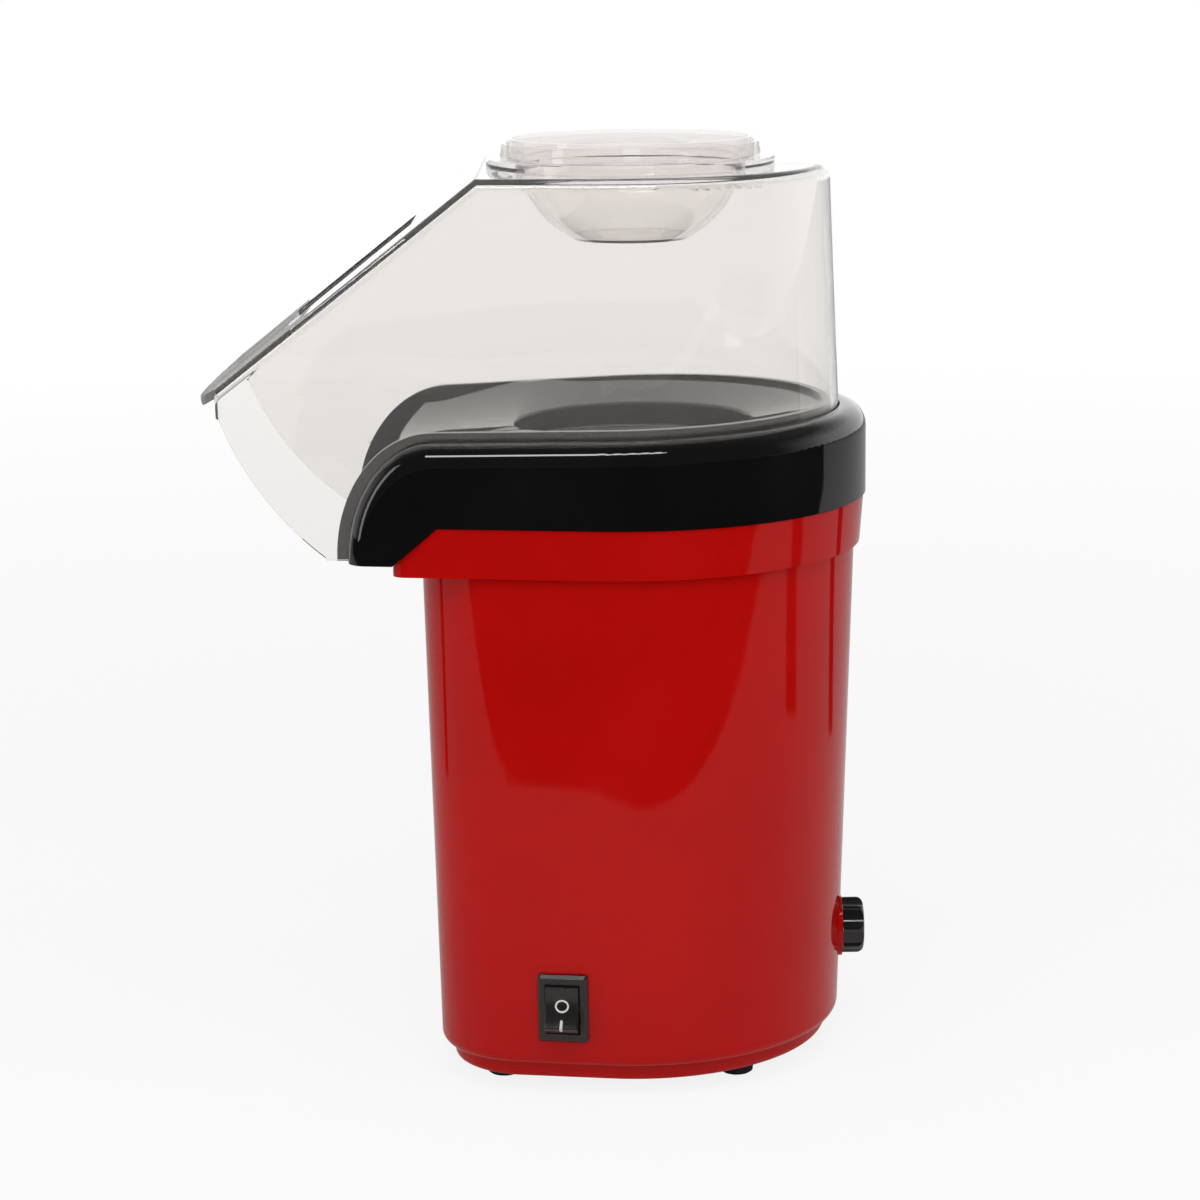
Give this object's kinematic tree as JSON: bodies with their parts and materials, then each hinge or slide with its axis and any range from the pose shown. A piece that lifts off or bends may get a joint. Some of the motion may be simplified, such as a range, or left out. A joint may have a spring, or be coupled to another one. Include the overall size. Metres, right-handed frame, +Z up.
{
  "type": "popcorn maker",
  "caption": "Hot-air popcorn maker: red body with a black chute collar, a clear lid that slopes down over the chute, and a clear measuring cup in its top.",
  "frame": {"origin": "on the surface that the feet stand on, under the middle of the whole object's box", "axes": "+Z up; -Y towards the chute, the front; +X towards the side with the rocker switch"},
  "size_m": [0.1418, 0.202, 0.2818],
  "materials": {
    "red_shell": "glossy moulded, deep red",
    "rubber": "matt black",
    "screw_steel": "zinc plated",
    "black_gloss": "polished black",
    "clear_plastic": "clear moulded plastic",
    "clear_cup": "clear moulded plastic",
    "aluminium": "drawn, satin",
    "sheet_steel": "bright sheet",
    "duct_plastic": "heat-proof moulding",
    "motor_steel": "plated can",
    "black_plastic": "moulded",
    "shaft_steel": "ground",
    "fan_plastic": "moulded",
    "board": "phenolic board",
    "heating_wire": "oxidised resistance wire",
    "mica": "pressed mica sheet",
    "thermostat_can": "stamped",
    "fuse_metal": "plated",
    "switch_black": "satin moulded",
    "rocker_black": "satin moulded",
    "brass": "tinned",
    "knob_black": "polished black",
    "inlet_rubber": "matt black"
  },
  "bodies": {
    "appliance": {"housing": "red_shell", "base_tray": "red_shell", "feet": "rubber", "base_screws": "screw_steel", "chute_collar": "black_gloss", "collar_screws": "screw_steel", "popping_chamber": "aluminium", "heater_sleeve": "sheet_steel", "chamber_screws": "screw_steel", "fan_duct": "duct_plastic", "duct_screws": "screw_steel", "motor_can": "motor_steel", "motor_cap": "black_plastic", "motor_screws": "screw_steel", "rectifier_board": "board", "rectifier_diodes": "black_plastic", "heater_coil": "heating_wire", "mica_frame": "mica", "thermostat": "thermostat_can", "thermal_fuse": "fuse_metal", "switch_housing": "switch_black", "switch_terminals": "brass", "control_body": "black_plastic", "control_nut": "brass", "cord_inlet": "inlet_rubber"},
    "lid": {"lid": "clear_plastic"},
    "cup": {"measuring_cup": "clear_cup"},
    "rocker": {"switch_rocker": "rocker_black"},
    "knob": {"control_knob": "knob_black", "control_stem": "shaft_steel"},
    "fan_wheel": {"fan": "fan_plastic", "motor_shaft": "shaft_steel"}
  },
  "joints": [
    {"name": "lid_lift", "type": "slide", "parent": "appliance", "child": "lid", "axis": [0, 0, 1], "range_m": [0, 0.09]},
    {"name": "cup_lift", "type": "slide", "parent": "lid", "child": "cup", "axis": [0, 0, 1], "range_m": [0, 0.045]},
    {"name": "rocker_tilt", "type": "hinge", "parent": "appliance", "child": "rocker", "pos_m": [0.0606, 0.00657, 0.02848], "axis": [0.1564, 0.9877, 0], "range_deg": [0, 32]},
    {"name": "knob_turn", "type": "hinge", "parent": "appliance", "child": "knob", "pos_m": [0, 0.09705, 0.034], "axis": [0, -1, 0], "range_deg": [0, 270]},
    {"name": "fan_spin", "type": "hinge", "parent": "appliance", "child": "fan_wheel", "pos_m": [0, 0.03005, 0.074], "axis": [0, 0, 1], "continuous": true}
  ]
}
